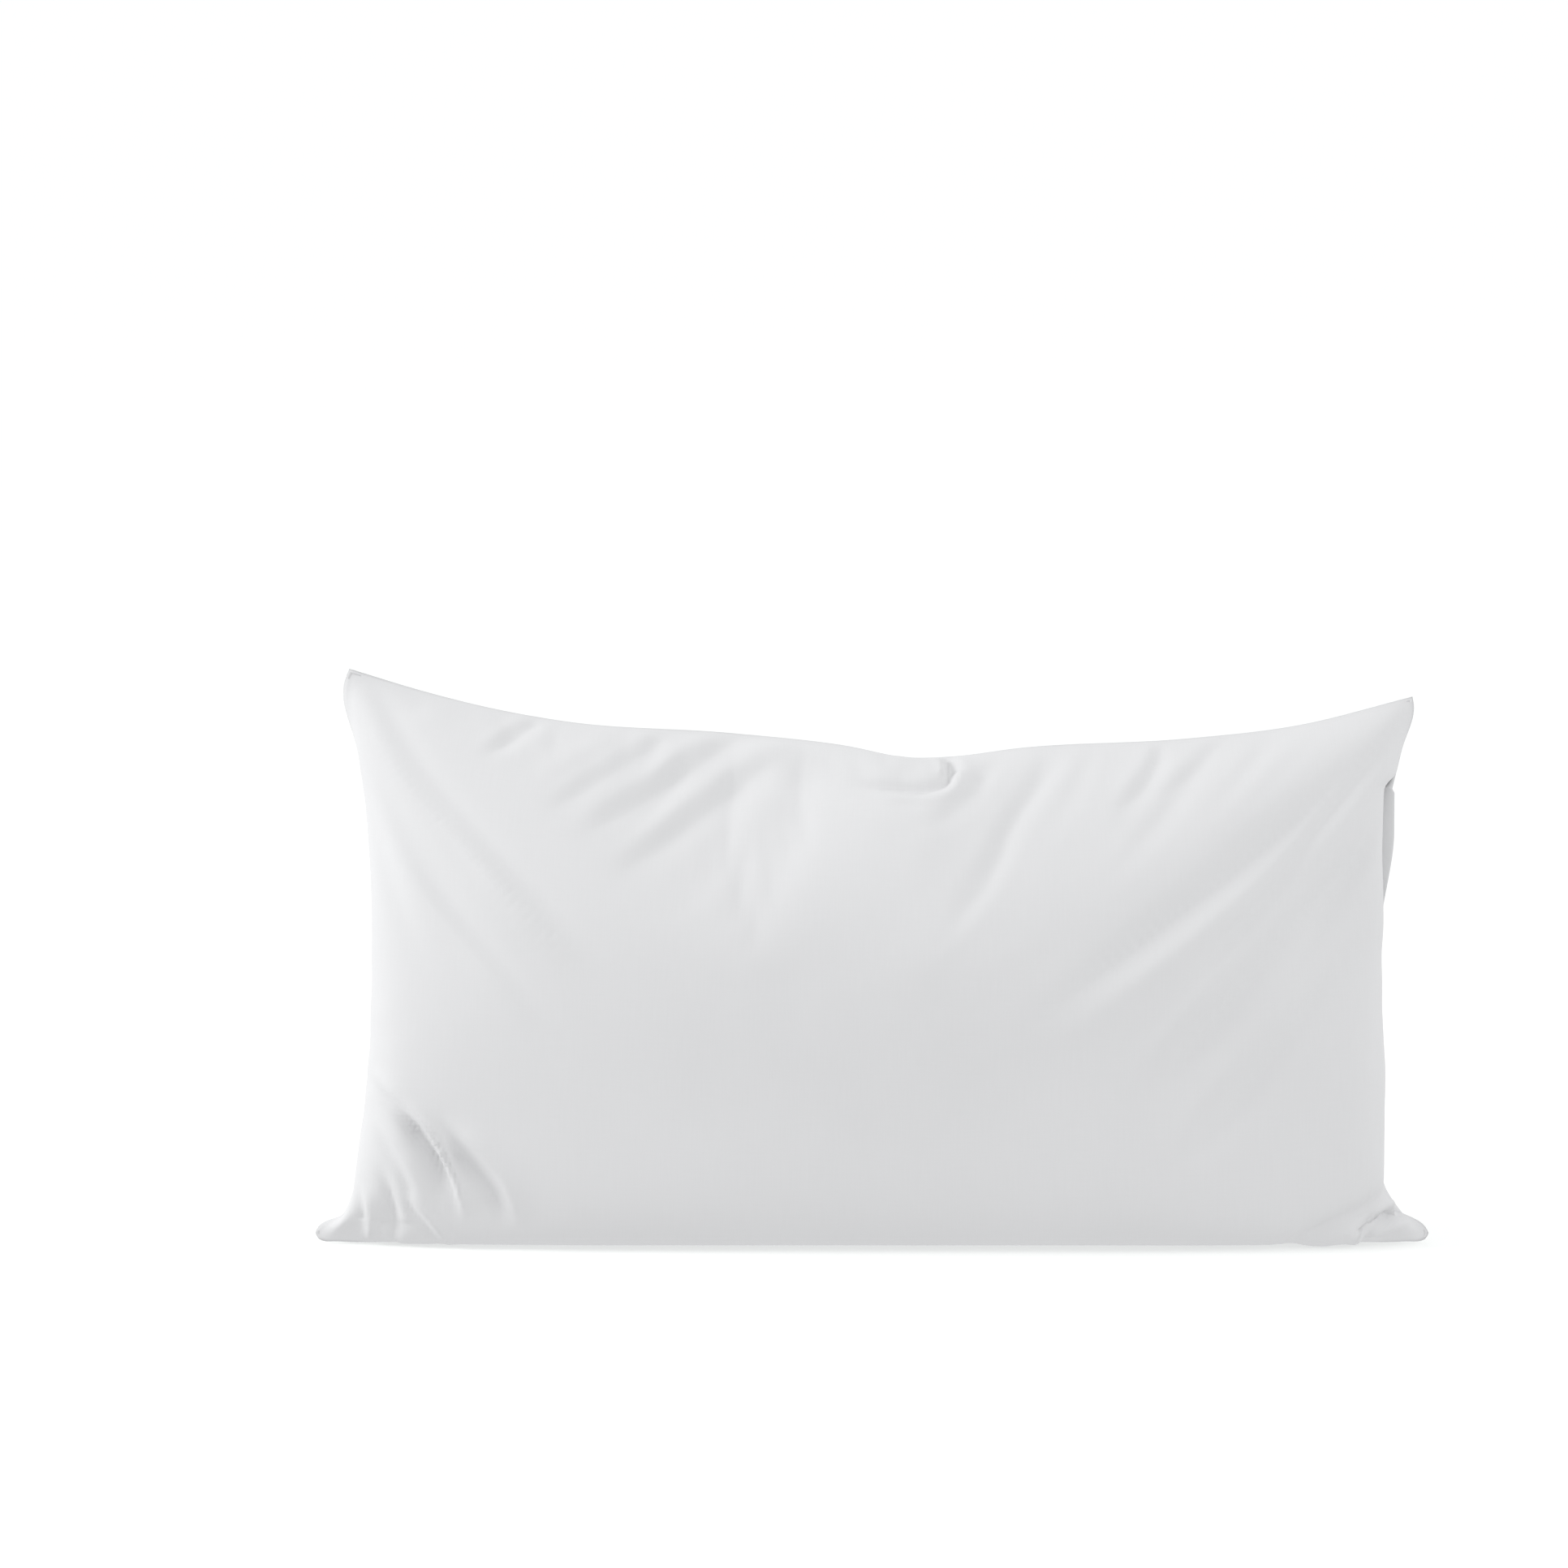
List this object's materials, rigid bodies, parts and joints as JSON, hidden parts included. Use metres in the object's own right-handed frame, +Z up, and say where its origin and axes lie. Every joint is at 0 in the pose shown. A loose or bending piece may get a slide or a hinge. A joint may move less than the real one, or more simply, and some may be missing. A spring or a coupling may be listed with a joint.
{
  "type": "bed pillow",
  "caption": "King-size bed pillow standing on its long edge: a plain white zipped cotton cover around a fibre-filled inner pillow, with a sliding zip and a hinged pull.",
  "frame": {"origin": "middle of the pillow's footprint on the surface it stands on", "axes": "+X along the pillow's length towards the zipped short edge, +Y through its thickness from front to back, +Z up across its width, from the edge it stands on to the upper seam"},
  "size_m": [0.902, 0.196, 0.47],
  "materials": {
    "cover_cotton": "fine plain-weave bleached cotton, matt, softly creased",
    "ticking": "dense unbleached cotton ticking, matt",
    "fibre": "white hollow-fibre filling",
    "thread": "white polyester sewing thread",
    "zip_tape": "white herringbone zip tape",
    "zip_coil": "white nylon coil",
    "zip_metal": "nickel-plated die-cast metal",
    "label": "smooth blank satin label"
  },
  "bodies": {
    "pillow": {"cover_front_panel": "cover_cotton", "cover_back_panel": "cover_cotton", "cover_seam_thread_top": "thread", "cover_seam_thread_bottom": "thread", "cover_seam_thread_left": "thread", "cover_seam_thread_right_upper": "thread", "cover_seam_thread_right_lower": "thread", "zip_flap": "cover_cotton", "zip_tape_front": "zip_tape", "zip_tape_back": "zip_tape", "zip_teeth_front": "zip_coil", "zip_teeth_back": "zip_coil", "zip_top_stop": "zip_metal", "zip_bottom_stop": "zip_metal", "inner_casing_front_panel": "ticking", "inner_casing_back_panel": "ticking", "inner_casing_seam_thread": "thread", "fibre_filling": "fibre", "care_label": "label"},
    "zip_slider": {"zip_slider": "zip_metal"},
    "zip_pull": {"zip_pull_tab": "zip_metal"}
  },
  "joints": [
    {"name": "zip_slide", "type": "slide", "parent": "pillow", "child": "zip_slider", "axis": [0, 0, 1], "range_m": [0, 0.295]},
    {"name": "pull_hinge", "type": "hinge", "parent": "zip_slider", "child": "zip_pull", "pos_m": [0.405, 0, 0.075], "axis": [0, -1, 0], "range_deg": [0, 170]}
  ]
}
